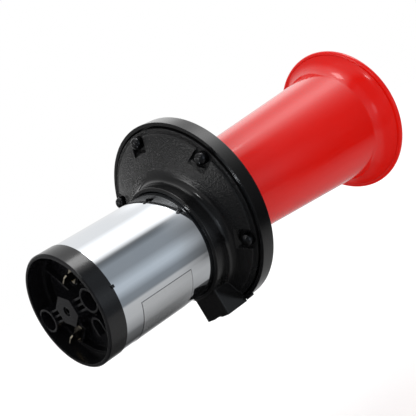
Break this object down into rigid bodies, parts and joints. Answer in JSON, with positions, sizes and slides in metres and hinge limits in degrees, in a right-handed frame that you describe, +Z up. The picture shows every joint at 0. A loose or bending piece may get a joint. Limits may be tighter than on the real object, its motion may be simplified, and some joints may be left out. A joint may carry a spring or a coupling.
{
  "type": "car horn",
  "caption": "Motor-driven trumpet horn: flared bell, round diaphragm housing with mounting foot, and a can motor that turns a toothed wheel.",
  "frame": {"origin": "centre of the mounting face under the foot, where the M8 hole's axis meets it", "axes": "+X along the horn axis from the motor to the bell, +Z up from the mounting face through the foot, +Y completes the right-handed frame"},
  "size_m": [0.2312, 0.1076, 0.1078],
  "materials": {
    "red_gloss": "glossy",
    "black_satin": "satin",
    "black_grained": "grained",
    "black_cap": "satin",
    "black_steel": "blackened",
    "zinc": "zinc plated",
    "turned_steel": "turned",
    "spring_steel": "rolled sheet",
    "gasket_fibre": "pressed fibre",
    "can_chrome": "bright plated",
    "label_foil": "printed foil",
    "ferrite": "ground",
    "sintered_bronze": "porous",
    "iron_sheets": "laminated",
    "enamelled_copper": "lacquered",
    "copper_bars": "turned",
    "carbon": "pressed",
    "bright_brass": "stamped",
    "tinned_brass": "tinned",
    "toothed_steel": "sintered"
  },
  "bodies": {
    "housing": {"trumpet": "red_gloss", "front_cover": "black_satin", "rear_cover": "black_grained", "foot_insert": "bright_brass", "cover_screws": "black_steel", "diaphragm": "spring_steel", "diaphragm_stud": "turned_steel", "front_gasket": "gasket_fibre", "rear_gasket": "gasket_fibre", "motor_can": "can_chrome", "label": "label_foil", "upper_magnet": "ferrite", "lower_magnet": "ferrite", "front_bearing": "sintered_bronze", "rear_bearing": "sintered_bronze", "through_bolts": "zinc", "end_cap": "black_cap", "adjusting_screw": "turned_steel", "positive_terminal": "tinned_brass", "negative_terminal": "tinned_brass", "terminal_rivets": "bright_brass", "upper_brush_holder": "bright_brass", "lower_brush_holder": "bright_brass", "upper_brush": "carbon", "lower_brush": "carbon", "brush_springs": "spring_steel"},
    "rotor": {"shaft": "turned_steel", "armature_core": "iron_sheets", "armature_winding": "enamelled_copper", "commutator": "copper_bars", "toothed_wheel": "toothed_steel", "shaft_rings": "turned_steel"}
  },
  "joints": [
    {"name": "rotor_spin", "type": "hinge", "parent": "housing", "child": "rotor", "pos_m": [0, 0, 0.0457], "axis": [1, 0, 0], "continuous": true}
  ]
}
